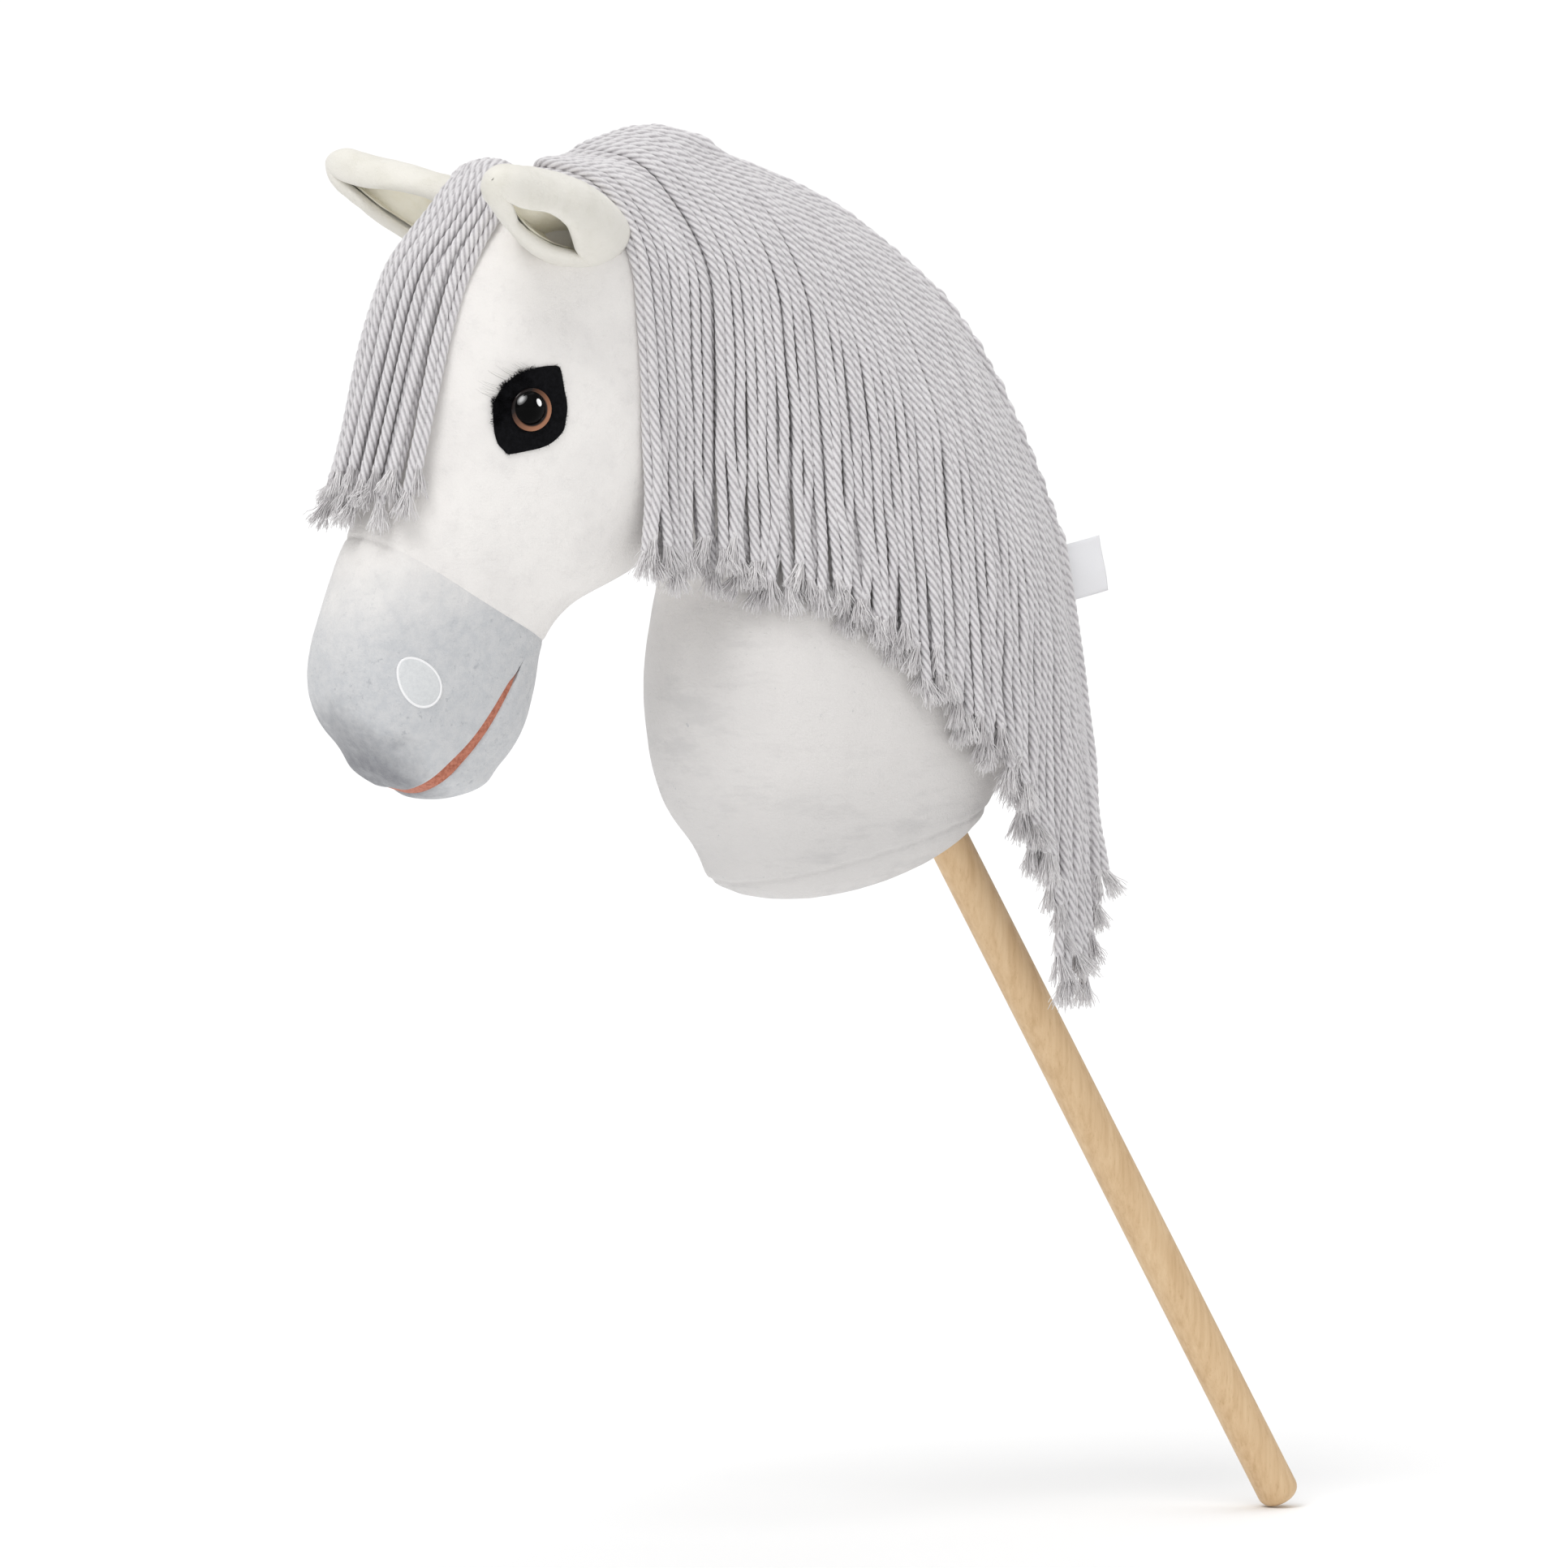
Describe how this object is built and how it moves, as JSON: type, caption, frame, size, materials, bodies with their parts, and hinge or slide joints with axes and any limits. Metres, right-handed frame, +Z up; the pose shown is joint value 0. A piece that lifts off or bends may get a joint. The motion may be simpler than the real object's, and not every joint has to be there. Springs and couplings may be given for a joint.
{
  "type": "hobby horse",
  "caption": "Stick hobby horse: stuffed white plush head and neck with a grey muzzle, rolled ears, glossy safety eyes and a mane and forelock of twisted grey cords, on a wooden stick.",
  "frame": {"origin": "on the stick's axis, at the middle of the hand grip just below the neck, 0.38 m from the stick's foot", "axes": "+Z up as the rider holds it, with the cords hanging straight down; -X the way the horse faces; -Y the horse's left side, on which the mane falls"},
  "size_m": [0.6565, 0.2292, 0.846],
  "materials": {
    "stick_wood": "sanded beech, clear satin lacquer",
    "cotton_cloth": "plain woven cotton",
    "plush_white": "short soft plush",
    "plush_grey": "short mottled plush",
    "ear_cream": "short soft plush",
    "lip_pink": "felt",
    "felt_black": "felt",
    "felt_pale": "felt",
    "thread_white": "satin stitch in thread",
    "lash_black": "stiff fine fibres",
    "cord_grey": "twisted cotton cord",
    "label_white": "woven satin ribbon",
    "eye_black": "polished",
    "iris_brown": "polished",
    "washer_plastic": "as moulded"
  },
  "bodies": {
    "root": {"stick": "stick_wood", "stick_sleeve": "cotton_cloth", "neck": "plush_white", "base_panel": "plush_white", "head": "plush_white", "muzzle": "plush_grey", "chin": "plush_grey", "mouth_lining": "lip_pink", "ear_left": "ear_cream", "ear_right": "ear_cream", "ear_lining_left": "ear_cream", "ear_lining_right": "ear_cream", "eye_left": "eye_black", "eye_right": "eye_black", "eye_ring_left": "iris_brown", "eye_ring_right": "iris_brown", "eye_washer_left": "washer_plastic", "eye_washer_right": "washer_plastic", "eye_patch_left": "felt_black", "eye_patch_right": "felt_black", "eyelashes_left": "lash_black", "eyelashes_right": "lash_black", "nostril_left": "felt_pale", "nostril_right": "felt_pale", "nostril_rim_left": "thread_white", "nostril_rim_right": "thread_white", "forelock": "cord_grey", "mane_1": "cord_grey", "mane_2": "cord_grey", "mane_3": "cord_grey", "mane_4": "cord_grey", "care_label": "label_white"}
  },
  "joints": []
}
